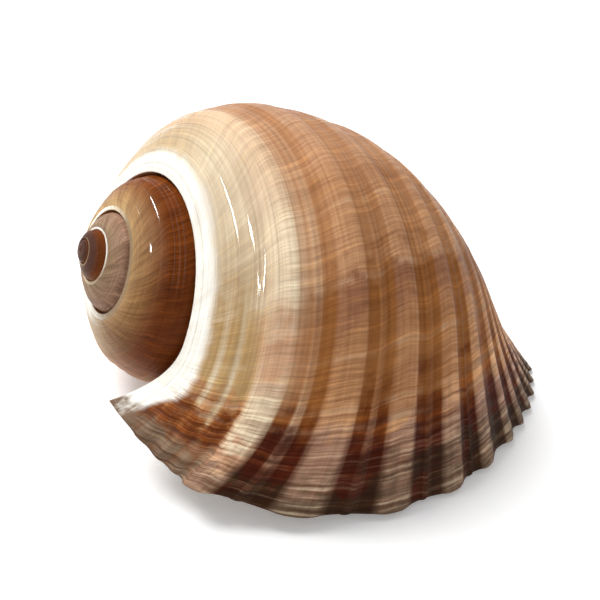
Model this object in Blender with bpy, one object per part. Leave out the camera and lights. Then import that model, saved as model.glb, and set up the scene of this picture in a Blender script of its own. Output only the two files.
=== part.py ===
"""A large tun shell lying on its mouth, modelled as one wall wound round a tapering spiral.

The wall is a closed section, swept backwards from the lip. Turns are counted from the lip, 0, towards the apex.
Outlines are (radius, height) pairs in body radii, measured from the coiling axis and down from the apex.
A place along the section is -3 deep in the channel beside the suture, 0 on the rim, 1 at the tip of the canal
and 2 inside the columella.
"""

import math

import bmesh
import bpy
import numpy as np
from mathutils import Matrix, Vector

# Driving dimensions, in metres, degrees and turns.
BODY_RADIUS = 0.095
TURNS = 4.6
HOLLOW_TURNS = 2.0
WALL = 0.0023
RIB_RELIEF = 0.0007
LIP_RIB_RELIEF = 0.0026
AXIS_SPIN = -137.1
AXIS_RISE = 22.7
COLOR = (0.50, 0.28, 0.14, 1.0)
ROUGHNESS = 0.35

# How fast the spiral shrinks from one turn to the next, and how fast it drops down the axis.
SHRINK = 0.726
LAST_TURN_SHRINK = 0.32
LAST_TURN_SPAN = 0.7
DROP_POWER = 1.26
WALL_POWER = 0.7

# The first whorls stand up from the spire as a nipple with a dip round its foot, in turns and in body radii.
NIPPLE_TURNS = (2.55, 3.15)
NIPPLE_RISE = 0.0137
DIP_TURN = 2.2
DIP_SPAN = 0.3
DIP = 0.0084

# The hollow wall sinks into the solid spire and the spire comes out of it: how deep, as a share of the wall.
JOINT_TURNS = (2.30, 2.40)
WALL_END_DEPTH = 0.8
SPIRE_START_DEPTH = 0.3

# Where the channel's floor meets the whorl before it: places on that whorl, at these turns.
BED_TURNS = [0.55, 1.05, 1.90, 2.30]
BED_PLACES = [0.50, 0.40, 0.40, 0.46]

# The channel's floor and its side, on the skin and at the wall's back, as shares of the gap from the whorl before it
# out to the rim and of the rise up to the rim, and the top of the apex, which has no whorl before it.
BED_DEPTH = 0.5
FLOOR_SKIN = (0.35, -0.25)
SIDE_SKIN = (0.85, 0.5)
FLOOR_BACK = (0.75, -0.3)
SIDE_BACK = (0.95, 0.45)
FLOOR_BACK_WALLS = 0.3
BACK_BED_STEP = 0.1
CROWN_SHARES = (0.04, 0.45, 0.8)
CROWN_RISE = 0.12

# Outlines from the rim beside the suture to the tip of the canal: of the whorl, and of the turned-out lip.
WHORL = [
    (0.487, -0.327), (0.583, -0.342), (0.741, -0.438), (0.857, -0.562), (0.930, -0.765), (0.933, -0.982),
    (0.898, -1.240), (0.788, -1.471), (0.626, -1.662), (0.438, -1.794), (0.286, -1.895),
]
MOUTH = [
    (0.546, -0.133), (0.646, -0.185), (0.811, -0.306), (0.917, -0.408), (1.025, -0.691), (1.055, -1.009),
    (0.989, -1.315), (0.838, -1.578), (0.656, -1.787), (0.466, -1.906), (0.313, -1.974),
]
LIP_SPAN = 0.104
LIP_CURL = 2.5

# The columella: its back, round the umbilicus, and its face inside the mouth, and the solid pillar above them.
COLUMELLA_BACK = [(0.235, -1.925), (0.160, -1.860), (0.095, -1.660), (0.060, -1.350), (0.052, -1.050), (0.062, -0.850)]
COLUMELLA_FACE = [(0.115, -0.800), (0.128, -0.920), (0.150, -1.150), (0.168, -1.450), (0.190, -1.700), (0.225, -1.820)]
SPIRE_CORE = [(0.150, -1.700), (0.095, -1.300), (0.085, -0.790), (0.062, -0.450)]
PILLAR = [
    (0.0, -0.900), (0.095, -0.900), (0.009, -0.016), (0.013, -0.003), (0.012, 0.007), (0.007, 0.013), (0.0, 0.014),
]
PILLAR_SIDES = 12
TIP = (0.0, 0.006)

# Growth lines lean forwards towards the canal, and the lip is cut back at the canal and in the channel.
LEAN = 1.05
NOTCH_SPAN = 0.16
CANAL_NOTCH = 0.025
CANAL_NOTCH_PLACE = 0.9
CANAL_NOTCH_ROWS = 2
CHANNEL_NOTCHES = [(-3, 0.11), (-2, 0.10), (-1, 0.06)]
CHANNEL_ROWS = len(CHANNEL_NOTCHES) + 1

# Ribs, as (place, half width) or a place alone, the low threads on the shoulder, and the plain rows between them.
BROAD_RIBS = [(0.264, 0.030), (0.394, 0.024), (0.503, 0.021), (0.585, 0.017), (0.647, 0.015)]
NARROW_RIBS = [0.706, 0.744, 0.783, 0.820, 0.856, 0.892, 0.930, 0.968]
SHOULDER_THREADS = [0.125, 0.166, 0.206]
PLAIN_ROWS = [0.030, 0.075, 0.145, 0.186, 1.0]
THREAD_SHARE = 0.35
LIP_RELIEF_SPAN = 0.07
INNER_ROWS = 10

# Places nearer than this are the same, and the slope of the outline is measured over this step each way.
SAME = 1e-6
SLOPE_STEP = 0.01

# Points nearer than this, in metres, are one, and what the joining leaves that is thinner than this is taken out.
TOUCHING = 1e-7
SLIVER = 2e-6

# Stations of the sweep: the first step from the lip, how it widens, and the widest step before each turn.
FIRST_STEP = 0.013
STEP_GROWTH = 1.2
WIDEST_STEPS = [(1.2, 1 / 30), (2.2, 1 / 22), (TURNS, 1 / 16)]
SPIRE_START = 1.08
SPIRE_ROWS = [0.075, 0.166, 0.234, 0.294, 0.370, 0.418, 0.482, 0.524, 0.585, 0.647, 0.744, 0.820, 0.892, 1.0]

RESTING = Matrix.Rotation(math.radians(AXIS_RISE - 90), 3, "Y") @ Matrix.Rotation(math.radians(AXIS_SPIN), 3, "Z")


def smooth_curve(points, place):
    """The point at place, 0 to 1, on a smooth curve through evenly spaced points."""
    points = np.asarray(points, float)
    last = len(points) - 1
    index = min(int(place * last), last - 1)
    part = place * last - index
    before = points[index - 1] if index > 0 else 2 * points[0] - points[1]
    after = points[index + 2] if index + 2 <= last else 2 * points[last] - points[last - 1]
    start, end = points[index], points[index + 1]
    slope_in, slope_out = (end - before) / 2, (after - start) / 2
    return (
        (2 * part**3 - 3 * part**2 + 1) * start
        + (part**3 - 2 * part**2 + part) * slope_in
        + (3 * part**2 - 2 * part**3) * end
        + (part**3 - part**2) * slope_out
    )


def size_at(turn):
    """How large the whorl is at this turn, against the one at the lip."""
    return math.exp(-SHRINK * turn - LAST_TURN_SHRINK * turn * math.exp(-turn / LAST_TURN_SPAN))


def nipple(turn):
    """How far the whorl stands above the spire's own slope, in body radii."""
    share = fade(turn, *NIPPLE_TURNS)
    dip = math.exp(-(((turn - DIP_TURN) / DIP_SPAN) ** 2))
    return NIPPLE_RISE * share**2 * (3 - 2 * share) - DIP * dip


def on_spiral(point, turn):
    """An outline's point carried back along the spiral to this turn."""
    size = size_at(turn)
    rim_height = WHORL[0][1]
    height = rim_height * size**DROP_POWER + size * (point[1] - rim_height)
    return np.array([size * point[0], height + nipple(turn)])


def rib_share(place):
    """1 on a rib's crest, less on a shoulder thread, and 0 in the grooves between them."""
    if any(abs(place - centre) <= half + SAME for centre, half in BROAD_RIBS):
        return 1.0
    if any(abs(place - centre) < SAME for centre in NARROW_RIBS):
        return 1.0
    return THREAD_SHARE if any(abs(place - centre) < SAME for centre in SHOULDER_THREADS) else 0.0


def wall_at(turn):
    """The wall's thickness in body radii."""
    return WALL * size_at(turn) ** WALL_POWER / BODY_RADIUS


def fade(turn, start, end):
    """0 up to the first turn and 1 from the second."""
    return min(max((turn - start) / (end - start), 0.0), 1.0)


def outside(turn, place, depth=0.0):
    """The point on the ribbed outer surface, or this deep under the plain one."""
    flare = max(0.0, 1 - turn / LIP_SPAN) ** LIP_CURL
    around = []
    for near in (max(place - SLOPE_STEP, 0.0), min(place + SLOPE_STEP, 1.0), place):
        whorl, mouth = smooth_curve(WHORL, near), smooth_curve(MOUTH, near)
        around.append(on_spiral(whorl, turn) + flare * (mouth - whorl))
    along = around[1] - around[0]
    outward = np.array([-along[1], along[0]]) / np.linalg.norm(along)
    relief = RIB_RELIEF + (LIP_RIB_RELIEF - RIB_RELIEF) * math.exp(-turn / LIP_RELIEF_SPAN)
    rise = -depth if depth else rib_share(place) * relief * size_at(turn) / BODY_RADIUS
    return around[2] + rise * outward


def outer_places():
    """Where the rows of the outer surface run: each rib's edges or crest, each groove and the plain shoulder."""
    edges = [centre + side * half for centre, half in BROAD_RIBS for side in (-1, 1)]
    ribs = [(SHOULDER_THREADS[-1], 0.0)] + BROAD_RIBS + [(centre, 0.0) for centre in NARROW_RIBS]
    grooves = [(a + half_a + b - half_b) / 2 for (a, half_a), (b, half_b) in zip(ribs, ribs[1:])]
    return sorted(PLAIN_ROWS + SHOULDER_THREADS + edges + NARROW_RIBS + grooves)


def crown(turn):
    """The top of the apex, from beside the coiling axis out to the rim."""
    rim = outside(turn, 0.0)
    rise = CROWN_RISE * size_at(turn)
    return [rim * (share, 1) + (0, rise * (1 - share)) for share in CROWN_SHARES] + [rim]


def channel(turn, depth):
    """The channel's wall, from its root in the whorl before it up to the rim, at this share of the wall's depth."""
    if turn > TURNS - 1:
        return crown(turn)
    wall = wall_at(turn)
    bed_place = np.interp(turn, BED_TURNS, BED_PLACES)
    root_depth = BED_DEPTH * wall_at(turn + 1)
    bed, rim = outside(turn + 1, bed_place), outside(turn, 0.0)
    gap, rise = rim - bed
    skin = [
        outside(turn + 1, bed_place, root_depth), bed + (FLOOR_SKIN[0] * gap, FLOOR_SKIN[1] * gap),
        bed + (SIDE_SKIN[0] * gap, SIDE_SKIN[1] * rise), rim,
    ]
    back = [
        outside(turn + 1, bed_place + BACK_BED_STEP, root_depth),
        bed + (FLOOR_BACK[0] * gap + FLOOR_BACK_WALLS * wall, FLOOR_BACK[1] * gap - wall),
        bed + (SIDE_BACK[0] * gap + wall, SIDE_BACK[1] * rise), rim + (wall, -wall),
    ]
    return [a + depth * (b - a) for a, b in zip(skin, back)]


def cut_back(turn, depth):
    """The turn whose section is used here, so that the lip's edge is cut back by this many turns."""
    return turn + depth * max(0.0, 1 - turn / NOTCH_SPAN) ** 2


def canal_cut(turn, place):
    """The turn whose section is used at this place, so that the lip is notched at the canal."""
    return cut_back(turn, CANAL_NOTCH * max(0.0, (place - CANAL_NOTCH_PLACE) / (1 - CANAL_NOTCH_PLACE)))


def skin_rows(turn, depth, places):
    """Rows from the channel's root over the rim to the tip of the canal, sunk by this share of the wall."""
    rows = []
    for k, (place, notch) in enumerate(CHANNEL_NOTCHES):
        rows.append((place, *channel(cut_back(turn, notch), depth)[k], 0.0))
    rows.append((0, *channel(turn, depth)[-1], 0.0))
    for place in places:
        rows.append((place, *outside(canal_cut(turn, place), place, depth * wall_at(turn)), LEAN * place))
    return rows


def wall_section(turn):
    """The wall's closed section, as rows of (place, radius, height, angle): its outer side, then its inner side."""
    outer = skin_rows(turn, fade(turn, *JOINT_TURNS) * WALL_END_DEPTH, outer_places())
    for k, point in enumerate(COLUMELLA_BACK):
        notch = CANAL_NOTCH if k < CANAL_NOTCH_ROWS else 0.0
        outer.append((1 + (k + 1) / len(COLUMELLA_BACK), *on_spiral(point, cut_back(turn, notch)), LEAN))
    inner = [(2 - k / len(COLUMELLA_FACE), *on_spiral(point, turn), LEAN) for k, point in enumerate(COLUMELLA_FACE)]
    inner_places = np.linspace(1 / INNER_ROWS, 1, INNER_ROWS)
    return outer, inner + skin_rows(turn, 1.0, inner_places)[::-1]


def spire_section(turn):
    """The solid spire's closed section. It starts inside the hollow wall and comes out to be the skin."""
    rows = skin_rows(turn, (1 - fade(turn, *JOINT_TURNS)) * SPIRE_START_DEPTH, SPIRE_ROWS)
    for k, point in enumerate(SPIRE_CORE):
        rows.append((1 + k, *on_spiral(point, turn), LEAN * (1 - k / len(SPIRE_CORE))))
    return rows


def stations(start, end):
    """The turns at which a section is set, close together at the lip and wider apart on the spire."""
    turns, step = [start], FIRST_STEP
    while turns[-1] < end:
        turns.append(turns[-1] + step)
        widest = next((limit for last, limit in WIDEST_STEPS if turns[-1] < last), step)
        step = min(step * STEP_GROWTH, widest)
    return turns


def placed(rows, turn):
    """Section rows as points in metres, with the coiling axis laid over into the resting pose."""
    points = []
    for _, radius, height, lean in rows:
        angle = 2 * math.pi * turn + lean
        upright = Vector((radius * math.cos(angle), radius * math.sin(angle), height))
        points.append(RESTING @ upright * BODY_RADIUS)
    return points


def swept(sections, turns):
    """A sheet with a row for each point of the section and a station for each turn, and its vertices."""
    rows = len(sections[0])
    mesh = bmesh.new()
    sheet = bmesh.ops.create_grid(mesh, x_segments=rows, y_segments=len(turns) - 1, size=1.0)["verts"]
    stations_of_verts = [sheet[k * (rows + 1) : (k + 1) * (rows + 1)] for k in range(len(turns))]
    for verts, rows_here, turn in zip(stations_of_verts, sections, turns):
        ring = placed(rows_here, turn)
        for vert, point in zip(verts, ring + ring[:1]):
            vert.co = point
    return mesh, stations_of_verts


def wound_wall():
    """The hollow whorls: a sheet swept back from the lip, rolled into a flat tube and closed at both ends."""
    turns = stations(0.0, JOINT_TURNS[1])
    outer, inner = wall_section(0.0)
    mesh, sheet = swept([sum(wall_section(turn), []) for turn in turns], turns)
    row_places = np.array([row[0] for row in outer])

    def close_lip():
        """Joins each stretch of the lip's inner edge to the rows of its outer edge at the same places."""
        edge_after = [mesh.edges.get(pair) for pair in zip(sheet[0], sheet[0][1:])]
        pairs = [(nearest(row_places, row[0]), len(outer) + k) for k, row in enumerate(inner)]
        for (outer_start, inner_start), (outer_end, inner_end) in zip(pairs, pairs[1:]):
            strip = edge_after[outer_end:outer_start] + edge_after[inner_start:inner_end]
            bmesh.ops.bridge_loops(mesh, edges=strip)

    def feather_end():
        """Brings the wall down to a thin edge where it ends inside the solid spire."""
        inner_places = np.array([row[0] for row in inner])
        targets = {vert: sheet[-1][len(outer) + nearest(inner_places, row[0])] for vert, row in zip(sheet[-1], outer)}
        targets[sheet[-1][-1]] = targets[sheet[-1][0]]
        bmesh.ops.weld_verts(mesh, targetmap=targets)

    def thin_spire():
        """Takes away the rows that only the body whorl's ribs need."""
        kept = {nearest(row_places, place) for place in SPIRE_ROWS}
        rib_rows = range(CHANNEL_ROWS, len(outer) - len(COLUMELLA_BACK))
        spare_rows = [row for row in rib_rows if row not in kept]
        on_spire = [verts for verts, turn in zip(sheet[:-1], turns) if turn > SPIRE_START]
        spare = [mesh.edges.get((a[row], b[row])) for a, b in zip(on_spire, on_spire[1:]) for row in spare_rows]
        bmesh.ops.dissolve_edges(mesh, edges=spare, use_verts=True)

    close_lip()
    thin_spire()
    feather_end()
    close_mesh(mesh)
    return mesh


def solid_spire():
    """The small whorls, too narrow to be worth hollowing, from inside the wall to the apex."""
    turns = stations(HOLLOW_TURNS, TURNS)
    mesh, sheet = swept([spire_section(turn) for turn in turns], turns)
    bmesh.ops.contextual_create(mesh, geom=[mesh.edges.get(pair) for pair in zip(sheet[0], sheet[0][1:])])
    bmesh.ops.pointmerge(mesh, verts=sheet[-1], merge_co=at_axis(TIP))
    close_mesh(mesh)
    return mesh


def at_axis(point):
    """A (radius, height) point beside the coiling axis, in metres and in the resting pose."""
    return RESTING @ Vector((point[0], 0, point[1])) * BODY_RADIUS


def nearest(places, place):
    """The index of the place nearest to this one."""
    return int(np.argmin(abs(places - place)))


def close_mesh(mesh):
    """Makes points that touch one, and faces the mesh outwards."""
    bmesh.ops.remove_doubles(mesh, verts=mesh.verts, dist=TOUCHING)
    bmesh.ops.recalc_face_normals(mesh, faces=mesh.faces)


def axis_pillar():
    """The solid columella inside the spire, topped by the first whorl's bulb, turned about the coiling axis."""
    mesh = bmesh.new()
    profile = [mesh.verts.new(at_axis(point)) for point in PILLAR]
    edges = [mesh.edges.new(pair) for pair in zip(profile, profile[1:])]
    bmesh.ops.spin(
        mesh, geom=profile + edges, cent=(0, 0, 0), axis=RESTING @ Vector((0, 0, 1)),
        angle=2 * math.pi, steps=PILLAR_SIDES, use_merge=True,
    )
    close_mesh(mesh)
    return mesh


def as_object(name, mesh, shift):
    """A mesh object of this name, moved so that the shell's box stands on the origin."""
    bmesh.ops.translate(mesh, verts=mesh.verts, vec=shift)
    data = bpy.data.meshes.new(name)
    mesh.to_mesh(data)
    mesh.free()
    obj = bpy.data.objects.new(name, data)
    bpy.context.scene.collection.objects.link(obj)
    return obj


def joined(shell, solids):
    """The shell's mesh with these solids joined to it, and its own overlapping whorls joined to each other."""
    for solid in solids:
        join = shell.modifiers.new(solid.name, "BOOLEAN")
        join.operation = "UNION"
        join.object = solid
        join.use_self = True
    mesh = bmesh.new()
    mesh.from_object(shell, bpy.context.evaluated_depsgraph_get())
    shell.modifiers.clear()
    bmesh.ops.dissolve_degenerate(mesh, edges=mesh.edges, dist=SLIVER)
    keep_largest_skin(mesh)
    return mesh


def keep_largest_skin(mesh):
    """Deletes every closed skin but the largest: the slivers of space between solids that nearly coincide."""
    left = set(mesh.faces)
    skins = []
    while left:
        skin, found = set(), [left.pop()]
        while found:
            face = found.pop()
            skin.add(face)
            beside = {other for edge in face.edges if len(edge.link_faces) == 2 for other in edge.link_faces}
            found += beside & left
            left -= beside
        skins.append(skin)
    skins.sort(key=len)
    for skin in skins[:-1]:
        bmesh.ops.delete(mesh, geom=list(skin), context="FACES")


def shell_material():
    """The shell's overall brown, with a dull polish."""
    material = bpy.data.materials.new("brown_shell")
    material.use_nodes = True
    surface = material.node_tree.nodes["Principled BSDF"]
    surface.inputs["Base Color"].default_value = COLOR
    surface.inputs["Roughness"].default_value = ROUGHNESS
    surface.inputs["Metallic"].default_value = 0.0
    return material


def main():
    for obj in list(bpy.data.objects):
        bpy.data.objects.remove(obj)
    wall = wound_wall()
    points = np.array([vert.co[:] for vert in wall.verts])
    low, high = points.min(axis=0), points.max(axis=0)
    shift = Vector((-(low[0] + high[0]) / 2, -(low[1] + high[1]) / 2, -low[2]))
    shell = as_object("shell", wall, shift)
    solids = [as_object("solid_spire", solid_spire(), shift), as_object("axis_pillar", axis_pillar(), shift)]
    mesh = joined(shell, solids)
    mesh.to_mesh(shell.data)
    mesh.free()
    for solid in solids:
        bpy.data.objects.remove(solid)
    shell.data.materials.append(shell_material())


main()
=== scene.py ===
"""A large tun shell at rest on its mouth, made as a Blender add-on.

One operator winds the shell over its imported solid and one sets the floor, the light and the camera.
Turns are counted along the spiral from the lip, 0, back towards the apex. A place along the section is -3
deep in the channel beside the suture, 0 on the rim, 1 at the tip of the canal and 2 inside the columella.
Outlines are (radius, height) pairs in body radii, measured from the coiling axis and down from the apex.
"""

import math

import bmesh
import bpy
import numpy as np
from bpy.props import FloatProperty, FloatVectorProperty, PointerProperty
from mathutils import Matrix, Vector


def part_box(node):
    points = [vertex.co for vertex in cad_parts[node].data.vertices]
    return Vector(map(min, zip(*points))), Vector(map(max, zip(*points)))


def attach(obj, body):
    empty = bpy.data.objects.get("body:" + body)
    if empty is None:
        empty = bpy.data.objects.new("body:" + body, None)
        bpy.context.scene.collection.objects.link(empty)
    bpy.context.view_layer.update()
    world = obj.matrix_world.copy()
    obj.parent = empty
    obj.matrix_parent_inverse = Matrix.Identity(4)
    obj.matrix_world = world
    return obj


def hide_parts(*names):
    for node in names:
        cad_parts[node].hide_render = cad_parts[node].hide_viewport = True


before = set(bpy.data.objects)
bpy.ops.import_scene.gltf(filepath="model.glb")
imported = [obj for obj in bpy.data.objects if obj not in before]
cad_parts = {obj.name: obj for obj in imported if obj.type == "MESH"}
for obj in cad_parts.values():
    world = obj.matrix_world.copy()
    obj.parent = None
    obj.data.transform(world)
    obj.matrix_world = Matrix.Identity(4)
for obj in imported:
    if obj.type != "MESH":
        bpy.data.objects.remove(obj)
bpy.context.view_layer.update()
SHELL_LOW, SHELL_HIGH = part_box("shell")

bl_info = {
    "name": "Tun shell",
    "version": (1, 0, 0),
    "blender": (4, 5, 0),
    "location": "3D View > Sidebar > Tun shell",
    "description": "Winds a ribbed tun shell and sets it on a plain floor",
    "category": "Object",
}

# The whole spiral, and where its solid part starts.
TURNS = 4.6
HOLLOW_TURNS = 2.0

# How fast the spiral shrinks from turn to turn, how it drops down the axis, and how the wall thins.
SHRINK = 0.726
LAST_TURN_SHRINK = 0.32
LAST_TURN_SPAN = 0.7
DROP_POWER = 1.26
WALL_POWER = 0.7

# The small whorls stand up as a nipple, above a slight dip.
NIPPLE_TURNS = (2.55, 3.15)
NIPPLE_RISE = 0.0137
DIP_TURN = 2.2
DIP_SPAN = 0.3
DIP = 0.0084

# How the coiling axis lies when the shell rests on its mouth, in degrees.
AXIS_SPIN = -137.1
AXIS_RISE = 22.7
LAID_OVER = Matrix.Rotation(math.radians(AXIS_RISE - 90), 3, "Y")
RESTING = LAID_OVER @ Matrix.Rotation(math.radians(AXIS_SPIN), 3, "Z")

# Where the hollow wall sinks into the solid spire, and how deep each starts and ends, in walls.
JOINT_TURNS = (2.30, 2.40)
WALL_END_DEPTH = 0.8
SPIRE_START_DEPTH = 0.3

# Where the channel's floor meets the whorl before it: places on that whorl, at these turns.
BED_TURNS = [0.55, 1.05, 1.90, 2.30]
BED_PLACES = [0.50, 0.40, 0.40, 0.46]

# The turn at the apex has none before it, so its section arches in: shares of the radius, and a rise.
CROWN_SHARES = (0.04, 0.45, 0.8)
CROWN_RISE = 0.12

# Outlines from the rim beside the suture to the tip of the canal: of the whorl, and of the turned-out lip.
WHORL = [
    (0.487, -0.327), (0.583, -0.342), (0.741, -0.438), (0.857, -0.562), (0.930, -0.765), (0.933, -0.982),
    (0.898, -1.240), (0.788, -1.471), (0.626, -1.662), (0.438, -1.794), (0.286, -1.895),
]
MOUTH = [
    (0.546, -0.133), (0.646, -0.185), (0.811, -0.306), (0.917, -0.408), (1.025, -0.691), (1.055, -1.009),
    (0.989, -1.315), (0.838, -1.578), (0.656, -1.787), (0.466, -1.906), (0.313, -1.974),
]
LIP_SPAN = 0.104
LIP_CURL = 2.5
SLOPE_REACH = 0.01

# The lip's edge is rounded over this span by this share of the wall.
EDGE_SPAN = 0.0024
EDGE_ROUNDING = 0.42

# The columella: its back, round the umbilicus, then its face inside the mouth, and the pillar above them.
COLUMELLA = [
    (0.235, -1.925), (0.160, -1.860), (0.095, -1.660), (0.060, -1.350), (0.052, -1.050), (0.062, -0.850),
    (0.115, -0.800), (0.128, -0.920), (0.150, -1.150), (0.168, -1.450), (0.190, -1.700), (0.225, -1.820),
]
COLUMELLA_ROWS = 24
SPIRE_CORE = [(0.150, -1.700), (0.095, -1.300), (0.085, -0.790), (0.062, -0.450)]
PILLAR = [
    (0.0, -0.900), (0.095, -0.900), (0.009, -0.016), (0.013, -0.003), (0.012, 0.007), (0.007, 0.013),
    (0.0, 0.014),
]
PILLAR_SIDES = 24
TIP = (0.0, 0.006)
BULB_PLACE = 0.2

# Faces that reach this far past the canal's tip are glazed.
GLAZE_FROM = 1.001

# Growth lines lean forwards to the canal, and the lip is cut back there and in the channel.
LEAN = 1.05
NOTCH_SPAN = 0.16
CANAL_NOTCH = 0.025
CANAL_NOTCH_PLACE = 0.9
CANAL_NOTCH_FADE = 6
CHANNEL_NOTCHES = [0.11, 0.10, 0.06, 0.0]
CHANNEL_STEPS = [0.0, 0.14, 0.28, 0.42, 0.56, 0.70, 0.82, 0.92, 0.97]

# Rib crests along the section, and rows between them. A phase of 0 and 1 is on a crest and 0.5 is midway.
BROAD_RIBS = [0.264, 0.394, 0.503, 0.585, 0.647]
NARROW_RIBS = [0.706, 0.744, 0.783, 0.820, 0.856, 0.892, 0.930, 0.968]
BROAD_PHASES = [
    0.0, 0.11, 0.18, 0.23, 0.28, 0.37, 0.45, 0.48, 0.51, 0.54, 0.57, 0.65, 0.74, 0.79, 0.84, 0.90,
]
NARROW_PHASES = [0.0, 0.17, 0.34, 0.5, 0.66, 0.83]
SHOULDER_ROWS = [
    0.006, 0.014, 0.024, 0.036, 0.046, 0.052, 0.056, 0.060, 0.066, 0.078, 0.092, 0.105, 0.112, 0.120, 0.128,
    0.136, 0.144, 0.149, 0.155, 0.163, 0.172, 0.181, 0.186, 0.192, 0.200, 0.210, 0.221, 0.231, 0.239, 0.246,
    0.254,
]
CRESTS = np.array([SHOULDER_ROWS[0]] + BROAD_RIBS + NARROW_RIBS + [1.0])
NARROW_START = 0.66
SHOULDER_END = 0.226
FIRST_RIB_TOP = 0.243

# Phases of a broad rib's flat top and foot, and what the lip takes and adds. A riblet's centre, top and foot.
BROAD_TOP, LIP_TOP_LOSS = 0.17, 0.12
BROAD_FOOT, LIP_FOOT_GAIN = 0.30, 0.14
RIBLET = (0.51, 0.015, 0.06)
RIBLET_SHARE = 0.30

# The shoulder's threads as (place, half width), and their top and foot in half widths.
SHOULDER_THREADS = [(0.125, 0.012), (0.166, 0.010), (0.206, 0.012)]
THREAD_EDGES = (0.55, 1.4)
THREAD_SHARE = 0.35

# The groove in the rim: its place, half width and depth in metres.
RIM_GROOVE = 0.055
RIM_GROOVE_HALF = 0.004
RIM_GROOVE_DEPTH = 0.00035

# How far from the lip the relief dies down, outside and inside, and the inside's share of it.
LIP_RELIEF_SPAN = 0.07
INNER_RELIEF_SPAN = 0.03
INNER_RELIEF_SHARE = 0.55

# Old edges of the lip as (turn, height in metres, span), and the ledge next to the lip as (height, turns over
# which it ends). Both begin over these places.
OLD_LIPS = [
    (0.0045, 0.00030, 0.0016), (0.0105, 0.00035, 0.0022), (0.021, 0.00016, 0.002), (0.034, 0.00014, 0.002),
    (0.103, 0.00012, 0.002), (0.152, 0.00010, 0.002), (0.298, 0.00016, 0.0025),
]
LEDGE = (0.00022, 0.040, 0.064)
OLD_LIP_PLACES = (0.03, 0.12)

# Stations of the sweep, as (turn, step from it on). On the small whorls the rows beyond a place are thinned.
STEPS = [(0.0, 0.0006), (0.003, 0.0011), (0.062, 0.0025), (0.10, 0.0062), (1.08, 0.0150)]
SPIRE_START = 1.08
SPIRE_STEP = 0.0167
HIDDEN_PLACE = 0.62
THINNED_TO = 4
SPIRE_HIDDEN_PLACES = [0.7, 0.8, 0.9, 1.0]
CORE_PLACES = [1.2, 1.4, 1.6, 1.8]
CORE_LEANS = [1.0, 0.75, 0.5, 0.25]
MERGE_REACH = 1e-7


def number(name, description, default, **kind):
    return FloatProperty(name=name, description=description, default=default, **kind)


class TunShellSizes(bpy.types.PropertyGroup):
    """The shell's sizes."""

    body_radius: number("Body radius", "From the coiling axis to the widest part", 0.095, unit="LENGTH")
    wall: number("Wall", "Thickness of the wall at the lip", 0.0023, unit="LENGTH")
    rib_relief: number("Rib relief", "How far the ribs stand up on the whorl", 0.0007, unit="LENGTH")
    lip_rib_relief: number("Rib relief at the lip", "The same at the lip", 0.0026, unit="LENGTH")


def colour_property(name, description, *paint):
    """A colour from a painter's red, green and blue of 0 to 255, kept as what Blender mixes."""
    shares = [value / 255 for value in paint]
    default = [((share + 0.055) / 1.055) ** 2.4 if share > 0.04 else share / 12.92 for share in shares]
    return FloatVectorProperty(
        name=name, description=description, default=default, subtype="COLOR", min=0, max=1
    )


class TunShellColours(bpy.types.PropertyGroup):
    """The shell's colours."""

    ivory: colour_property("Ivory", "The rim beside the suture", 242, 237, 226)
    cream: colour_property("Cream", "The palest rib", 230, 206, 174)
    biscuit: colour_property("Biscuit", "The shoulder where it is palest", 210, 190, 160)
    sand: colour_property("Sand", "The shoulder's ground", 192, 167, 132)
    straw: colour_property("Straw", "The shoulder's faint stripes", 180, 145, 98)
    blush: colour_property("Blush", "The first rib further back", 214, 182, 150)
    rose: colour_property("Rose", "The pinkish ribs", 204, 158, 124)
    tan: colour_property("Tan", "The ribs of the body whorl", 196, 144, 104)
    caramel: colour_property("Caramel", "The ribs where they darken", 178, 125, 84)
    dusk: colour_property("Dusk", "A dusky old edge across the ribs", 156, 106, 76)
    clay: colour_property("Clay", "The ribs where the stripes are darkest", 172, 130, 106)
    hazel: colour_property("Hazel", "The ribs next to the lip's margin", 150, 116, 94)
    umber: colour_property("Umber", "The stripes between the ribs", 146, 91, 47)
    chestnut: colour_property("Chestnut", "The stripes where they darken towards the lip", 112, 56, 18)
    russet: colour_property("Russet", "The shoulder's threads next to the lip's margin", 122, 80, 52)
    bark: colour_property("Bark", "The shoulder's ground next to the lip's margin", 90, 50, 28)
    mahogany: colour_property("Mahogany", "The darkest stripes next to the lip", 76, 26, 6)
    walnut: colour_property("Walnut", "The stripes on the lip's margin", 58, 34, 18)
    drift: colour_property("Driftwood", "The worn ribs on the lip's margin", 120, 96, 76)
    taupe: colour_property("Taupe", "The upper whorls", 146, 122, 94)
    plum: colour_property("Plum", "The apex", 86, 54, 42)
    porcelain: colour_property("Porcelain", "The inside of the mouth", 226, 202, 176)
    amber: colour_property("Amber", "The glaze deep inside and on the columella", 186, 138, 98)
    cloud: colour_property("Cloud", "Faint clouds in the glaze", 200, 160, 120)
    edge: colour_property("Edge", "The glaze on the lip's edge", 214, 196, 166)


def smooth_curve(points, place):
    """Points at these places, 0 to 1, on a smooth curve through evenly spaced points."""
    points = np.asarray(points, float)
    last = len(points) - 1
    padded = np.vstack([2 * points[0] - points[1], points, 2 * points[-1] - points[-2]])
    place = np.asarray(place, float) * last
    index = np.clip(place.astype(int), 0, last - 1)
    part = (place - index)[..., None]
    before, start, end, after = (padded[index + k] for k in range(4))
    slope_in, slope_out = (end - before) / 2, (after - start) / 2
    return (
        (2 * part**3 - 3 * part**2 + 1) * start
        + (part**3 - 2 * part**2 + part) * slope_in
        + (3 * part**2 - 2 * part**3) * end
        + (part**3 - part**2) * slope_out
    )


def size_at(turn):
    """How large the whorl is at this turn, against the one at the lip."""
    return np.exp(-SHRINK * turn - LAST_TURN_SHRINK * turn * np.exp(-turn / LAST_TURN_SPAN))


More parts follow.
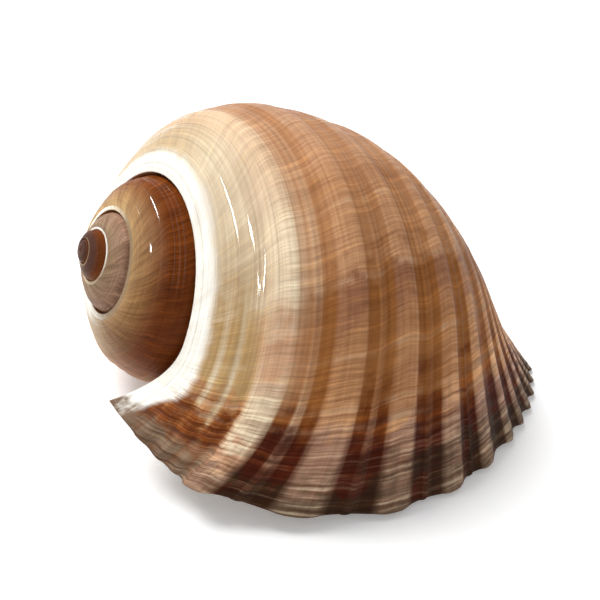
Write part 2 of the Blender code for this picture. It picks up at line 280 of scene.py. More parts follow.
def nipple(turn):
    """How far the whorl stands above the spire's own slope, in body radii."""
    dip = np.exp(-(((np.asarray(turn, float) - DIP_TURN) / DIP_SPAN) ** 2))
    return NIPPLE_RISE * smooth_step(turn, *NIPPLE_TURNS) - DIP * dip


def on_spiral(points, turn):
    """Outline points carried back along the spiral to these turns."""
    points = np.asarray(points, float)
    size = size_at(np.asarray(turn, float))
    rim_height = WHORL[0][1]
    height = rim_height * size**DROP_POWER + size * (points[..., 1] - rim_height) + nipple(turn)
    return np.stack([size * points[..., 0], height], -1)


def smooth_step(value, start, end):
    share = np.clip((value - start) / (end - start), 0, 1)
    return share * share * (3 - 2 * share)


def fade(turn, start, end):
    return float(np.clip((turn - start) / (end - start), 0, 1))


def rib_phase(place):
    """Counts ribs along the section: 1 on the first crest, 1.5 midway to the second, and so on."""
    return np.interp(place, CRESTS, np.arange(len(CRESTS)))


def rib_share(place, fullness=0.0):
    """1 on a rib's crest and 0 in the grooves, with a thin riblet midway between broad ribs."""
    counted = rib_phase(place)
    phase = np.abs(counted - np.round(counted))
    top = BROAD_TOP - LIP_TOP_LOSS * fullness
    foot = BROAD_FOOT + LIP_FOOT_GAIN * fullness
    broad = 1 - smooth_step(phase, top, foot)
    centre, half, end = RIBLET
    riblet = RIBLET_SHARE * (1 - smooth_step(np.abs(counted % 1 - centre), half, end))
    narrow = 0.5 + 0.5 * np.cos(2 * np.pi * phase)
    share = np.where(place < NARROW_START, np.maximum(broad, riblet), narrow)
    share = np.where(place < BROAD_RIBS[0], smooth_step(place, SHOULDER_END, FIRST_RIB_TOP), share)
    for centre, half in SHOULDER_THREADS:
        start, end = (edge * half for edge in THREAD_EDGES)
        thread = THREAD_SHARE * (1 - smooth_step(np.abs(place - centre), start, end))
        share = np.maximum(share, np.where(place < SHOULDER_END, thread, 0))
    return share


class Section:
    """The wall's section and the spire's, from the shell's sizes."""

    def __init__(self, sizes):
        self.radius = sizes.body_radius
        self.wall = sizes.wall
        self.relief = sizes.rib_relief
        self.lip_relief = sizes.lip_rib_relief

    def wall_at(self, turn):
        return self.wall * size_at(turn) ** WALL_POWER / self.radius

    def outside(self, turn, place, depth=0.0):
        """Points on the ribbed outer surface, or this deep under the plain one."""
        turn, place, depth = np.broadcast_arrays(np.asarray(turn, float), place, depth)
        flare = (np.maximum(0.0, 1 - turn / LIP_SPAN) ** LIP_CURL)[..., None]
        around = []
        for near in (np.maximum(place - SLOPE_REACH, 0.0), np.minimum(place + SLOPE_REACH, 1.0), place):
            whorl, mouth = smooth_curve(WHORL, near), smooth_curve(MOUTH, near)
            around.append(on_spiral(whorl, turn) + flare * (mouth - whorl))
        along = around[1] - around[0]
        length = np.linalg.norm(along, axis=-1, keepdims=True)
        outward = np.stack([-along[..., 1], along[..., 0]], -1) / length
        near_lip = np.exp(-turn / LIP_RELIEF_SPAN)
        relief = self.relief + (self.lip_relief - self.relief) * near_lip
        rise = rib_share(place, near_lip) * relief * size_at(turn) / self.radius
        inner = -depth + INNER_RELIEF_SHARE * rise * np.exp(-turn / INNER_RELIEF_SPAN)
        rise = np.where(depth > 0, inner, rise + self.growth(turn, place) / self.radius)
        groove = np.exp(-(((place - RIM_GROOVE) / RIM_GROOVE_HALF) ** 2))
        groove = groove * RIM_GROOVE_DEPTH * size_at(turn) / self.radius
        return around[2] + (rise - np.where(depth > 0, 0, groove))[..., None] * outward

    def growth(self, turn, place):
        """How far old edges of the lip stand up on the outer surface, in metres."""
        margin = smooth_step(place, *OLD_LIP_PLACES)
        height, start, end = LEDGE
        rise = height * (1 - smooth_step(turn, start, end)) * margin
        for at, height, span in OLD_LIPS:
            rise = rise + height * np.exp(-(((turn - at) / span) ** 2)) * margin
        return rise * size_at(turn)

    def channel(self, turn, depth):
        """The channel's wall from its root in the whorl before it up to the rim, this share of the way in.

        Between them its points are shares of the gap and the rise from that whorl's bed to the rim.
        """
        wall = self.wall_at(turn)
        rim = self.outside(turn, 0.0)
        if turn > TURNS - 1:
            rises = [CROWN_RISE * (1 - share) * size_at(turn) for share in CROWN_SHARES]
            return [rim * (share, 1) + (0, rise) for share, rise in zip(CROWN_SHARES, rises)] + [rim]
        bed_place = np.interp(turn, BED_TURNS, BED_PLACES)
        bed = self.outside(turn + 1, bed_place, 1e-9)
        gap, rise = rim - bed
        sunk = self.wall_at(turn + 1) / 2
        skin = [
            self.outside(turn + 1, bed_place, sunk), bed + (0.35 * gap, -0.25 * gap),
            bed + (0.85 * gap, 0.5 * rise), rim,
        ]
        back = [
            self.outside(turn + 1, bed_place + 0.1, sunk),
            bed + (0.75 * gap + 0.3 * wall, -0.3 * gap - wall),
            bed + (0.95 * gap + wall, 0.45 * rise), rim + (wall, -wall),
        ]
        return [a + depth * (b - a) for a, b in zip(skin, back)]

    def channel_rows(self, turn, depth):
        """The channel as finely spaced points, each cut back from the lip by its own notch."""
        points = []
        for step in CHANNEL_STEPS:
            notch = np.interp(3 * step, range(4), CHANNEL_NOTCHES)
            points.append(smooth_curve(self.channel(cut_back(turn, notch), depth), step))
        return np.array(points)

    def skin(self, turn, places, depth=0.0):
        """The outer surface at these places, cut back at the canal."""
        notch = CANAL_NOTCH * np.maximum(0.0, (places - CANAL_NOTCH_PLACE) / (1 - CANAL_NOTCH_PLACE))
        return self.outside(cut_back(turn, notch), places, depth)

    def wall_rows(self, turn, outer_places, inner_places):
        """The wall's closed section as (radius, height) points, from the channel out, round and back in."""
        wall = self.wall_at(turn)
        sunk = fade(turn, *JOINT_TURNS) * WALL_END_DEPTH
        rounding = EDGE_ROUNDING * wall * (1 - math.sqrt(1 - max(0.0, 1 - turn / EDGE_SPAN) ** 2))
        outer = self.skin(turn, outer_places, sunk * wall + rounding)
        inner = self.skin(turn, inner_places, wall - rounding)
        steps = np.linspace(0, 1, COLUMELLA_ROWS)
        notch = CANAL_NOTCH * np.clip(1 - CANAL_NOTCH_FADE * steps, 0, 1)
        columella = on_spiral(smooth_curve(COLUMELLA, steps), cut_back(turn, notch))
        return np.vstack([
            self.channel_rows(turn, sunk), outer, columella, inner[::-1], self.channel_rows(turn, 1.0)[::-1]
        ])

    def spire_rows(self, turn, places):
        """The solid spire's closed section. It starts inside the hollow wall and comes out to be the skin."""
        sunk = (1 - fade(turn, *JOINT_TURNS)) * SPIRE_START_DEPTH
        skin = self.skin(turn, places, sunk * self.wall_at(turn))
        return np.vstack([self.channel_rows(turn, sunk), skin, on_spiral(SPIRE_CORE, turn)])


def cut_back(turn, notch):
    """The turn whose section is used here, so that the lip's edge is cut back by this notch."""
    return turn + notch * max(0.0, 1 - turn / NOTCH_SPAN) ** 2


def outer_places():
    """Where the rows of the outer surface run: close together on the shoulder's edges and the ribs' sides."""
    places = [0.0] + SHOULDER_ROWS
    crests = BROAD_RIBS + NARROW_RIBS
    for start, end in zip(crests, crests[1:] + [1.0]):
        phases = BROAD_PHASES if start in BROAD_RIBS else NARROW_PHASES
        places += [start + phase * (end - start) for phase in phases]
    return np.array(places + [1.0])


def stations(start, end, steps):
    """The turns at which a section is set."""
    turns = [start]
    while turns[-1] < end:
        step = [step for first, step in steps if turns[-1] >= first - 1e-9][-1]
        turns.append(turns[-1] + step)
    turns[-1] = end
    return turns


def placed(rows, lean, turn, radius):
    """Section rows as points in metres, with the coiling axis laid over into the resting pose."""
    angle = 2 * math.pi * turn + lean
    upright = np.stack([rows[:, 0] * np.cos(angle), rows[:, 0] * np.sin(angle), rows[:, 1]], -1)
    return upright @ np.array(RESTING).T * radius


def swept(sections, lean, turns, places, radius):
    """A sheet with a row for each point of the section and a station for each turn. Its long edges meet."""
    rows = len(lean)
    mesh = bmesh.new()
    turn_layer = mesh.verts.layers.float.new("turn")
    place_layer = mesh.verts.layers.float.new("place")
    phase_layer = mesh.verts.layers.float.new("rib")
    sheet = bmesh.ops.create_grid(mesh, x_segments=rows, y_segments=len(turns) - 1, size=1.0)["verts"]
    by_station = [sheet[k * (rows + 1) : (k + 1) * (rows + 1)] for k in range(len(turns))]
    phases = rib_phase(np.clip(places, 0, 1))
    for verts, section, turn in zip(by_station, sections, turns):
        points = placed(section, lean, turn, radius)
        for k, vert in enumerate(verts):
            row = k % rows
            vert.co = points[row]
            vert[turn_layer] = turn
            vert[place_layer] = places[row]
            vert[phase_layer] = phases[row]
    return mesh, by_station


def nearest(places, place):
    return int(np.argmin(abs(places - place)))


def edges_along(mesh, verts):
    return [mesh.edges.get(pair) for pair in zip(verts, verts[1:])]


def close_mesh(mesh):
    bmesh.ops.remove_doubles(mesh, verts=mesh.verts, dist=MERGE_REACH)
    bmesh.ops.recalc_face_normals(mesh, faces=mesh.faces)


def wound_wall(section):
    """The hollow whorls: a sheet swept back from the lip, rolled into a flat tube and closed at both ends."""
    turns = stations(0.0, JOINT_TURNS[1], STEPS)
    outer = outer_places()
    inner = outer[::2] if len(outer) % 2 else np.append(outer[::2], 1.0)
    channel = len(CHANNEL_STEPS)
    channel_places = np.linspace(-3, 0, channel, endpoint=False)
    places = np.concatenate([
        channel_places, outer, np.linspace(1, 2, COLUMELLA_ROWS), 4 - inner[::-1], 4 - channel_places[::-1]
    ])
    lean = LEAN * np.concatenate([
        np.zeros(channel), outer, np.ones(COLUMELLA_ROWS), inner[::-1], np.zeros(channel)
    ])
    rows = [section.wall_rows(turn, outer, inner) for turn in turns]
    mesh, sheet = swept(rows, lean, turns, places, section.radius)
    outer_count = channel + len(outer)
    inner_start = outer_count + COLUMELLA_ROWS

    def close_lip():
        """Joins the lip's inner edge to its outer edge, stretch by stretch, at the places that both have."""
        edges = edges_along(mesh, sheet[0])
        last = len(places) - 1
        pairs = [(channel + nearest(outer, place), inner_start + k) for k, place in enumerate(inner[::-1])]
        pairs += [(k, last - k) for k in range(channel)][::-1]
        tip = outer_count + COLUMELLA_ROWS // 2
        pairs.insert(0, (tip - 1, tip))
        for (outer_high, inner_low), (outer_low, inner_high) in zip(pairs, pairs[1:]):
            strip = edges[outer_low:outer_high] + edges[inner_low:inner_high]
            bmesh.ops.bridge_loops(mesh, edges=strip)

    def close_end():
        bmesh.ops.contextual_create(mesh, geom=edges_along(mesh, sheet[-1]))

    def thin_spire():
        """Takes away the rows that only the body whorl's ribs need."""
        spare_rows = [channel + k for k, place in enumerate(outer) if place > HIDDEN_PLACE and k % THINNED_TO]
        spare_rows += [inner_start + k for k in range(len(inner)) if k % THINNED_TO]
        on_spire = [verts for verts, turn in zip(sheet, turns) if turn > SPIRE_START]
        spare = [
            mesh.edges.get((a[row], b[row])) for a, b in zip(on_spire, on_spire[1:]) for row in spare_rows
        ]
        bmesh.ops.dissolve_edges(mesh, edges=spare, use_verts=True)

    close_lip()
    close_end()
    thin_spire()
    close_mesh(mesh)
    return mesh


def solid_spire(section):
    """The small whorls, too narrow to be worth hollowing, from inside the wall to the apex."""
    turns = stations(HOLLOW_TURNS, TURNS, [(0.0, SPIRE_STEP)])
    places = np.array([place for place in outer_places() if place < HIDDEN_PLACE] + SPIRE_HIDDEN_PLACES)
    channel = len(CHANNEL_STEPS)
    row_places = np.concatenate([np.linspace(-3, 0, channel, endpoint=False), places, CORE_PLACES])
    lean = LEAN * np.concatenate([np.zeros(channel), places, CORE_LEANS])
    rows = [section.spire_rows(turn, places) for turn in turns]
    mesh, sheet = swept(rows, lean, turns, row_places, section.radius)
    bmesh.ops.contextual_create(mesh, geom=edges_along(mesh, sheet[0]))
    place_layer = mesh.verts.layers.float["place"]
    for vert in sheet[-1]:
        vert[place_layer] = BULB_PLACE
    tip = RESTING @ Vector((TIP[0], 0, TIP[1])) * section.radius
    bmesh.ops.pointmerge(mesh, verts=sheet[-1], merge_co=tip)
    close_mesh(mesh)
    return mesh


def axis_pillar(section):
    """The solid columella inside the spire, topped by the first whorl's bulb, turned about the axis."""
    mesh = bmesh.new()
    turn_layer = mesh.verts.layers.float.new("turn")
    place_layer = mesh.verts.layers.float.new("place")
    profile = [mesh.verts.new(RESTING @ Vector((r, 0, h)) * section.radius) for r, h in PILLAR]
    edges = [mesh.edges.new(pair) for pair in zip(profile, profile[1:])]
    bmesh.ops.spin(
        mesh,
        geom=profile + edges,
        cent=(0, 0, 0),
        axis=RESTING @ Vector((0, 0, 1)),
        angle=2 * math.pi,
        steps=PILLAR_SIDES,
        use_merge=True,
    )
    for vert in mesh.verts:
        vert[turn_layer] = TURNS
        vert[place_layer] = BULB_PLACE
    close_mesh(mesh)
    return mesh


def mesh_data(name, mesh):
    data = bpy.data.meshes.new(name)
    mesh.to_mesh(data)
    mesh.free()
    return data


def added(name, data):
    """A new object with this data, in the scene."""
    thing = bpy.data.objects.new(name, data)
    bpy.context.scene.collection.objects.link(thing)
    return thing


def joined(meshes):
    """One mesh that holds these closed skins, which overlap inside the shell."""
    whole = meshes[0]
    for mesh in meshes[1:]:
        data = mesh_data("skin", mesh)
        whole.from_mesh(data)
        bpy.data.meshes.remove(data)
    return whole


def set_on_floor(mesh):
    """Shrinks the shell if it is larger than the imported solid's box, and stands it in that box."""
    points = np.array([vert.co[:] for vert in mesh.verts])
    low, high = points.min(axis=0), points.max(axis=0)
    share = min(1.0, *(np.array(SHELL_HIGH - SHELL_LOW) / (high - low)))
    bmesh.ops.scale(mesh, verts=mesh.verts, vec=(share, share, share))
    low, high = low * share, high * share
    centre = (SHELL_LOW + SHELL_HIGH) / 2
    across, deep = centre.x - (low[0] + high[0]) / 2, centre.y - (low[1] + high[1]) / 2
    bmesh.ops.translate(mesh, verts=mesh.verts, vec=Vector((across, deep, SHELL_LOW.z - low[2])))


# How much of a shade each of red, green and blue takes.
SHADE_SHARES = (0.82, 1.0, 1.12)


class Wiring:
    """Adds shader nodes to a tree and joins them up."""

    def __init__(self, tree):
        self.tree = tree

    def node(self, kind, inputs=(), **settings):
        node = self.tree.nodes.new(kind)
        for name, value in settings.items():
            setattr(node, name, value)
        for name, value in dict(inputs).items():
            self.join(value, node.inputs[name])
        return node

    def join(self, value, socket):
        if isinstance(value, bpy.types.NodeSocket):
            self.tree.links.new(value, socket)
        elif socket.type == "RGBA" and len(value) == 3:
            socket.default_value = (*value, 1.0)
        else:
            socket.default_value = value

    def calculate(self, operation, *values):
        return self.node("ShaderNodeMath", enumerate(values), operation=operation).outputs[0]

    def chain(self, operation, values):
        """Takes the values in by the operation, one after another."""
        whole = values[0]
        for value in values[1:]:
            whole = self.calculate(operation, whole, value)
        return whole

    def times(self, *values):
        return self.chain("MULTIPLY", values)

    def plus(self, *values):
        return self.chain("ADD", values)

    def largest(self, *values):
        return self.chain("MAXIMUM", values)

    def minus(self, first, second):
        return self.calculate("SUBTRACT", first, second)

    def centred(self, pattern):
        """A pattern of 0 to 1 as one about 0."""
        return self.minus(pattern, 0.5)

    def attribute(self, name):
        return self.node("ShaderNodeAttribute", attribute_name=name).outputs["Fac"]

    def step(self, value, start, end, low=0.0, high=1.0):
        """Goes smoothly from low to high as value goes from start to end."""
        inputs = {"Value": value, "From Min": start, "From Max": end, "To Min": low, "To Max": high}
        return self.node("ShaderNodeMapRange", inputs, interpolation_type="SMOOTHSTEP").outputs["Result"]

    def fall(self, value, start, end):
        return self.step(value, start, end, 1.0, 0.0)

    def band(self, value, centre, half, soft):
        """1 within half of the centre, 0 further than that and soft besides."""
        return self.fall(self.calculate("ABSOLUTE", self.minus(value, centre)), half, half + soft)

    def bands(self, value, spans):
        """The largest of the bands with these (centre, half, soft) spans."""
        return self.largest(*(self.band(value, *span) for span in spans))

    def mix(self, factor, first, second, blend="MIX"):
        node = self.node("ShaderNodeMix", data_type="RGBA", blend_type=blend)
        for value, socket in ((factor, 0), (first, 6), (second, 7)):
            self.join(value, node.inputs[socket])
        return node.outputs[2]

    def track(self, turn, colours, table):
        """A colour that changes along the spiral, from a table of colours and their turns."""
        stops = [(at, name) for name, *turns in table for at in turns]
        span = stops[-1][0]
        node = self.node("ShaderNodeValToRGB", {"Fac": self.calculate("DIVIDE", turn, span)})
        elements = node.color_ramp.elements
        elements.remove(elements[1])
        for k, (at, name) in enumerate(stops):
            element = elements[0] if k == 0 else elements.new(at / span)
            element.position = at / span
            element.color = (*getattr(colours, name), 1.0)
        return node.outputs["Color"]

    def shaded(self, colour, *shades):
        """The colour under (amount, strength) shades: paler where above 0, darker and redder where below."""
        for amount, strength in shades:
            factors = [
                self.calculate("MULTIPLY_ADD", amount, strength * share, 1.0) for share in SHADE_SHARES
            ]
            factor = self.node("ShaderNodeCombineColor", enumerate(factors)).outputs[0]
            colour = self.mix(1.0, colour, factor, "MULTIPLY")
        return colour

    def noise(self, x, y, detail=2.0, rough=0.5, scale=1.0):
        grid = self.node("ShaderNodeCombineXYZ", {0: x, 1: y}).outputs[0]
        inputs = {"Vector": grid, "Scale": scale, "Detail": detail, "Roughness": rough}
        return self.node("ShaderNodeTexNoise", inputs).outputs["Fac"]

    def bump(self, height, strength, distance, **inputs):
        inputs = {"Height": height, "Strength": strength, "Distance": distance, **inputs}
        return self.node("ShaderNodeBump", inputs).outputs[0]


GROWTH_OUTPUTS = ("Threads", "Cords", "Bands", "Streaks", "Ridges", "Mottle", "Old Turn")

# Growth patterns, as cells for each turn and each place, detail and roughness: along the lip's old edges,
# and along the spiral.
LIP_PATTERNS = {
    "Threads": (470.0, 8.0, 2.0, 0.6), "Cords": (140.0, 5.0, 3.0, 0.65), "Bands": (34.0, 2.6, 3.0, 0.6),
}
SPIRAL_PATTERNS = {"Streaks": (6.0, 150.0, 3.0, 0.6), "Mottle": (60.0, 26.0, 4.0, 0.6)}
WOBBLE = (9.0, 8.0, 2.0, 0.5)

# Fine raised spiral lines: how many there are, and how uneven.
RIDGES = 78
RIDGE_UNEVENNESS = (0.6, 16.0, 1.0, 0.5)
RIDGE_SHIFT = 6.0


def growth_group():
    """A node group of growth lines along the lip's old edges and of streaks along the spiral."""
    tree = bpy.data.node_groups.new("growth_lines", "ShaderNodeTree")
    for name in ("Turn", "Place", "Rib"):
        tree.interface.new_socket(name, in_out="INPUT", socket_type="NodeSocketFloat")
    for name in GROWTH_OUTPUTS:
        tree.interface.new_socket(name, in_out="OUTPUT", socket_type="NodeSocketFloat")
    w = Wiring(tree)
    given = w.node("NodeGroupInput").outputs
    turn, place = given["Turn"], given["Place"]

    def lines(turn_value, per_turn, per_place, detail, rough):
        return w.noise(w.times(turn_value, per_turn), w.times(place, per_place), detail, rough)

    # An old edge of the lip leans over the shoulder, more so further back, and bows back over each rib.
    lean = w.times(w.fall(place, 0.0, 0.27), w.step(turn, 0.06, 0.30, 0.022, 0.045))
    bow = w.calculate("COSINE", w.times(given["Rib"], 2 * math.pi))
    bow = w.times(bow, w.step(place, 0.20, 0.26, 0.0, -0.0017))
    wobble = w.times(w.centred(lines(turn, *WOBBLE)), w.step(turn, 0.03, 0.12, 0.004, 0.008))
    old_turn = w.plus(w.plus(turn, lean), w.plus(bow, wobble))
    out = w.node("NodeGroupOutput").inputs
    w.join(old_turn, out["Old Turn"])
    for turn_value, patterns in ((old_turn, LIP_PATTERNS), (turn, SPIRAL_PATTERNS)):
        for name, pattern in patterns.items():
            w.join(lines(turn_value, *pattern), out[name])
    uneven = w.times(lines(turn, *RIDGE_UNEVENNESS), RIDGE_SHIFT)
    ridge = w.calculate("COSINE", w.plus(w.times(place, 2 * math.pi * RIDGES), uneven))
    w.join(w.calculate("MULTIPLY_ADD", ridge, 0.5, 0.5), out["Ridges"])
    return tree


# Colours along the spiral, each with the one or more turns at which it is pure.
# The first rib is paler than the ribs below it partly from painted light, and its cream at turns 0.17 to
# 0.205 is partly a painted highlight.
FIRST_RIB = [
    ("hazel", 0.0, 0.012), ("rose", 0.022, 0.034), ("cream", 0.046, 0.062), ("blush", 0.080),
    ("rose", 0.105, 0.125), ("blush", 0.145), ("cream", 0.170, 0.205), ("blush", 0.250, 0.320),
    ("rose", 0.9),
]
OTHER_RIBS = [
    ("drift", 0.0, 0.010), ("hazel", 0.020), ("clay", 0.032, 0.044), ("tan", 0.058),
    ("caramel", 0.078, 0.112), ("dusk", 0.132, 0.148), ("tan", 0.168, 0.220), ("rose", 0.300, 0.9),
]
STRIPES = [
    ("walnut", 0.0, 0.012), ("mahogany", 0.022, 0.038), ("chestnut", 0.056), ("umber", 0.085, 0.145),
    ("caramel", 0.172, 0.200), ("tan", 0.260), ("caramel", 0.9),
]
SHOULDER_GROUND = [
    ("drift", 0.0), ("russet", 0.010), ("bark", 0.020), ("chestnut", 0.032), ("umber", 0.044),
    ("sand", 0.058), ("biscuit", 0.080), ("sand", 0.120, 0.170), ("biscuit", 0.250, 0.320), ("sand", 0.400),
]
SHOULDER_STRIPE = [
    ("drift", 0.0, 0.012), ("russet", 0.024), ("chestnut", 0.034, 0.043), ("umber", 0.052),
    ("caramel", 0.060), ("straw", 0.080, 0.140), ("sand", 0.170), ("biscuit", 0.250, 0.320),
    ("sand", 0.400),
]
RIM = [
    ("drift", 0.0), ("hazel", 0.005), ("sand", 0.010), ("ivory", 0.016, 0.84), ("taupe", 0.98, 1.30),
    ("biscuit", 1.41), ("ivory", 1.50), ("biscuit", 1.75), ("sand", 2.05), ("ivory", 2.20, 2.70),
    ("taupe", 2.90, 3.30), ("plum", 3.55, 4.6),
]

# Stripes as (centre, half, soft): between two ribs as phases, and on the shoulder as places.
INTERSPACE_STRIPES = [(0.375, 0.080, 0.080), (0.68, 0.060, 0.080)]
INTERSPACE = (0.5, 0.17, 0.12)
LIP_INTERSPACE = (0.51, 0.22, 0.14)
INTERSPACE_THREADS = [(at, 0.012, 0.030) for at in (0.29, 0.41, 0.53, 0.65, 0.77)]
SHOULDER_STRIPES = [(0.1275, 0.0110, 0.012), (0.168, 0.0065, 0.010), (0.212, 0.0160, 0.012)]

# The fine polished lines and the old edges across the ribs, also as (centre, half, soft).
BODY_LINES = [(at, 0.0, 0.0042) for at in (0.120, 0.165, 0.198, 0.210, 0.222, 0.255)]
SPIRE_LINES = [(at, 0.0, 0.0050) for at in (0.100, 0.115, 0.150, 0.178, 0.235, 0.300, 0.322, 0.343)]
OLD_EDGES = [(at, 0.0005, 0.0030) for at in (0.101, 0.152, 0.206)]
OLD_EDGES += [(0.054, 0.0007, 0.0030), (0.066, 0.0004, 0.0030), (0.300, 0.0010, 0.0030)]

# How far the colours' borders waver across and along the spiral.
WAVER = 0.008
WAVER_IN_PHASE = 5.0
RAGGED = 0.075

# Where the spire's colours take over, then its upper whorls' and the apex's.
SPIRE_TURNS = (0.80, 1.0)
UPPER_TURNS = (1.6, 2.0)
APEX_TURNS = (2.75, 3.0)


def new_material(name):
    material = bpy.data.materials.new(name)
    material.use_nodes = True
    return material, Wiring(material.node_tree), material.node_tree.nodes["Principled BSDF"]


class Skin:
    """The outer surface: tan ribs, brown stripes that darken towards the lip, a white rim, a plum apex."""

    def __init__(self, colours, growth):
        self.material, self.w, self.surface = new_material("ribbed_skin")
        w, self.c = self.w, colours
        self.turn, self.place, rib = (w.attribute(name) for name in ("turn", "place", "rib"))
        inputs = {"Turn": self.turn, "Place": self.place, "Rib": rib}
        lines = w.node("ShaderNodeGroup", inputs, node_tree=growth).outputs
        self.threads, self.cords, self.bands, self.streaks, self.ridges, self.mottle, self.old_turn = (
            lines[name] for name in GROWTH_OUTPUTS
        )
        waver = w.times(w.centred(self.mottle), WAVER)
        self.place_here = w.plus(self.place, waver)
        self.phase = w.calculate("FRACT", w.plus(rib, w.times(waver, WAVER_IN_PHASE)))
        ragged = w.times(w.minus(w.plus(self.mottle, self.bands), 1.0), RAGGED)
        self.turn_here = w.plus(self.turn, ragged)
        self.stripes = self.rib_stripes()
        # Growth lines are drawn most of all next to the lip, and least on the rim.
        beyond_rim = w.step(self.place, 0.03, 0.12, 0.3, 1.0)
        self.fresh = w.times(w.step(self.turn, 0.035, 0.11, 1.0, 0.4), beyond_rim)

    def track(self, table):
        return self.w.track(self.turn_here, self.c, table)

    def rib_stripes(self):
        """1 on the brown stripes between the ribs."""
        w, turn, place, phase = self.w, self.turn, self.place, self.phase
        whole = w.times(w.band(phase, *INTERSPACE), w.step(place, 0.34, 0.62, 0.55, 1.0))
        stripes = w.largest(w.bands(phase, INTERSPACE_STRIPES), whole)
        beside_first = w.times(w.fall(place, 0.305, 0.345), w.step(turn, 0.055, 0.1, 0.0, 0.42))
        stripes = w.times(stripes, w.minus(1.0, beside_first))
        near_lip = w.times(w.band(phase, *LIP_INTERSPACE), w.step(self.turn_here, 0.03, 0.085, 0.92, 0.0))
        # Next to the lip the first stripe starts and ends a little closer to the rim.
        first_start = w.step(turn, 0.04, 0.09, 0.258, 0.272)
        first_end = w.step(turn, 0.04, 0.09, 0.29, 0.312)
        return w.times(w.largest(stripes, near_lip), w.step(place, first_start, first_end))

    def ribs(self):
        w, turn, place = self.w, self.turn, self.place
        # The first rib's paler colour against the other ribs' is partly painted light.
        colour = w.mix(w.step(place, 0.285, 0.375), self.track(FIRST_RIB), self.track(OTHER_RIBS))
        colour = w.mix(self.stripes, colour, self.track(STRIPES))
        thin = w.bands(self.phase, INTERSPACE_THREADS)
        thin = w.times(thin, w.times(w.step(turn, 0.07, 0.16), w.step(place, 0.28, 0.31)))
        return w.shaded(colour, (thin, -0.13))

    def shoulder(self, rim_colour):
        w, turn, place_here = self.w, self.turn, self.place_here
        stripes = w.bands(place_here, SHOULDER_STRIPES)
        colour = w.mix(stripes, self.track(SHOULDER_GROUND), self.track(SHOULDER_STRIPE))
        # Near the lip the brown starts closer to the rim.
        white_to = w.step(turn, 0.0, 0.06, 0.06, 0.119)
        bleed = w.times(w.centred(self.bands), 0.05)
        beyond = w.plus(w.minus(place_here, white_to), bleed)
        white = w.step(beyond, w.step(turn, 0.03, 0.12, -0.012, -0.028), 0.012, 1.0, 0.0)
        return w.mix(white, colour, rim_colour)

    def spire(self):
        w, c, turn = self.w, self.c, self.turn
        pale = w.mix(w.step(turn, *UPPER_TURNS), c.straw, c.taupe)
        dark = w.mix(w.step(turn, *UPPER_TURNS), c.chestnut, c.hazel)
        # Towards place 0.3, next to the body whorl's rim, the dark brown is partly the whorl's own colour and
        # partly painted shade from that rim. The spire is also darker at turn 1.0, fading out by turn 1.34.
        colour = w.shaded(
            w.mix(w.step(self.place, 0.0, 0.3), pale, dark),
            (w.step(turn, 0.98, 1.34, -0.34, -0.02), 1.0),
            (w.band(turn, 1.52, 0.08, 0.14), 0.24),
            (w.band(turn, 2.4, 0.14, 0.12), 0.16),
            (w.step(turn, 1.6, 1.9, 0.0, -0.12), 1.0),
            (w.centred(self.threads), 0.6),
            (w.centred(self.cords), 1.1),
            (w.centred(self.bands), 0.8),
        )
        apex = w.mix(w.step(self.place, 0.18, 0.34), c.plum, c.chestnut)
        return w.mix(w.step(turn, *APEX_TURNS), colour, apex)

    def whole(self):
        """Ribs, shoulder, spire and rim, each where it belongs."""
        w, c, turn, place, place_here = self.w, self.c, self.turn, self.place, self.place_here
        rim_colour = self.track(RIM)
        border_start = w.step(turn, 0.06, 0.17, 0.226, 0.165)
        border_end = w.step(turn, 0.06, 0.17, 0.25, 0.285)
        on_shoulder = w.fall(place_here, border_start, border_end)
        colour = w.mix(on_shoulder, self.ribs(), self.shoulder(rim_colour))
        colour = w.mix(w.step(turn, *SPIRE_TURNS), colour, self.spire())
        # Painted shade: a taupe line in the rim's groove, where the rolled rim shades it.
        groove = w.times(w.band(place, RIM_GROOVE, 0.0015, 0.005), 0.75)
        colour = w.mix(w.fall(place_here, 0.04, 0.062), colour, w.mix(groove, rim_colour, c.taupe))
        in_channel = w.times(w.fall(place, -0.6, -0.05), w.fall(turn, 3.0, 3.4))
        return w.mix(in_channel, colour, c.caramel)

    def grown(self, colour):
        """The colour under growth lines, which lighten and darken it rather than cover it, and under painted
        light and shade along the ribs.
        """
        w, turn, place, stripes = self.w, self.turn, self.place, self.stripes
        bare = w.times(w.step(place, 0.1, 0.15), w.step(place, 0.22, 0.3, 0.4, 1.0))
        bare = w.largest(bare, w.times(w.fall(turn, 0.05, 0.1), w.step(place, 0.07, 0.11)))
        fine = w.times(self.fresh, w.step(stripes, 0.0, 1.0, 1.0, 0.55), bare)
        # Painted light and shade on the ribs: paler about turn 0.095, and darker beyond turn 0.17 where the
        # soft lamp lights the top of the body whorl strongly.
        lighter = w.times(w.band(turn, 0.095, 0.025, 0.04), 0.15)
        darker = w.step(turn, 0.17, 0.32, 0.0, -0.26)
        along = w.times(w.plus(lighter, darker), w.step(place, 0.27, 0.34))
        return w.shaded(
            colour,
            (w.times(w.centred(self.threads), fine), 3.2),
            (w.times(w.centred(self.cords), w.times(self.fresh, bare)), 1.8),
            (w.centred(self.bands), 0.65),
            (w.centred(self.streaks), 0.85),
            (w.step(place, 0.36, 0.48, 0.08, 0.0), 1.0),
            (w.times(along, w.fall(turn, 0.75, 0.95)), 1.0),
            (w.times(w.band(turn, 0.12, 0.03, 0.03), w.step(place, 0.4, 0.48)), 0.09),
            (w.times(w.fall(turn, 0.05, 0.09), w.step(place, 0.6, 0.7)), 0.26),
            (w.times(w.band(turn, 0.22, 0.05, 0.05), w.band(place, 0.17, 0.05, 0.03)), -0.09),
        )

